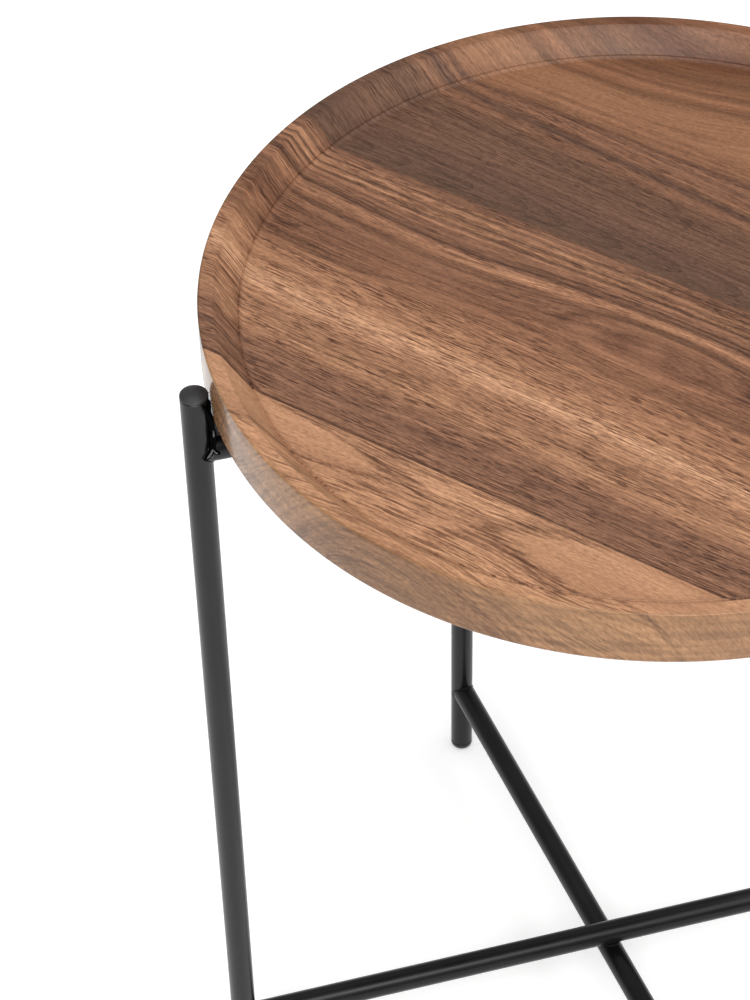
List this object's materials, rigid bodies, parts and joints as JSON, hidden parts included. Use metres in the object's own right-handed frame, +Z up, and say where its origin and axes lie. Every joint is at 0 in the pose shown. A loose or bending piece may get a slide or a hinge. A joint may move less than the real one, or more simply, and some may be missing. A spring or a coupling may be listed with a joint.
{
  "type": "folding tray table",
  "caption": "Round side table with a lift-off raised-rim tray on a folding stand of crossed tube frames.",
  "frame": {"origin": "centre of the floor area under the table, on the centre line that the two frames turn about", "axes": "+Z up; the two frames cross symmetrically about the Y axis, each 48.85 degrees from it; front faces -Y"},
  "size_m": [0.4, 0.4, 0.535],
  "materials": {
    "walnut_foil": "satin walnut-print foil over MDF",
    "black_powder_coat": "satin black powder coat",
    "black_plastic": "satin black moulded plastic",
    "blackened_steel": "blackened steel",
    "dark_nylon": "dark nylon"
  },
  "bodies": {
    "outer_frame": {"post_back_left": "black_powder_coat", "post_front_right": "black_powder_coat", "top_bar_outer": "black_powder_coat", "bottom_bar_outer": "black_powder_coat", "cap_back_left": "black_plastic", "cap_front_right": "black_plastic", "foot_back_left": "black_plastic", "foot_front_right": "black_plastic", "pivot_screw_upper": "blackened_steel", "pivot_nut_upper": "blackened_steel", "pivot_sleeve_lower": "blackened_steel", "pivot_washer_lower": "dark_nylon"},
    "inner_frame": {"post_front_left": "black_powder_coat", "post_back_right": "black_powder_coat", "top_bar_inner": "black_powder_coat", "bottom_bar_inner": "black_powder_coat", "cap_front_left": "black_plastic", "cap_back_right": "black_plastic", "foot_front_left": "black_plastic", "foot_back_right": "black_plastic", "rest_lug_front_left": "black_powder_coat", "rest_lug_back_right": "black_powder_coat", "pivot_screw_lower": "blackened_steel", "pivot_nut_lower": "blackened_steel", "pivot_sleeve_upper": "blackened_steel", "pivot_washer_upper": "dark_nylon"},
    "tray": {"tray": "walnut_foil"}
  },
  "joints": [
    {"name": "frame_fold", "type": "hinge", "parent": "outer_frame", "child": "inner_frame", "pos_m": [0, 0, 0.25], "axis": [0, 0, 1], "range_deg": [-78, 93]},
    {"name": "tray_lift", "type": "slide", "parent": "outer_frame", "child": "tray", "axis": [0, 0, 1], "range_m": [0, 0.12]}
  ]
}
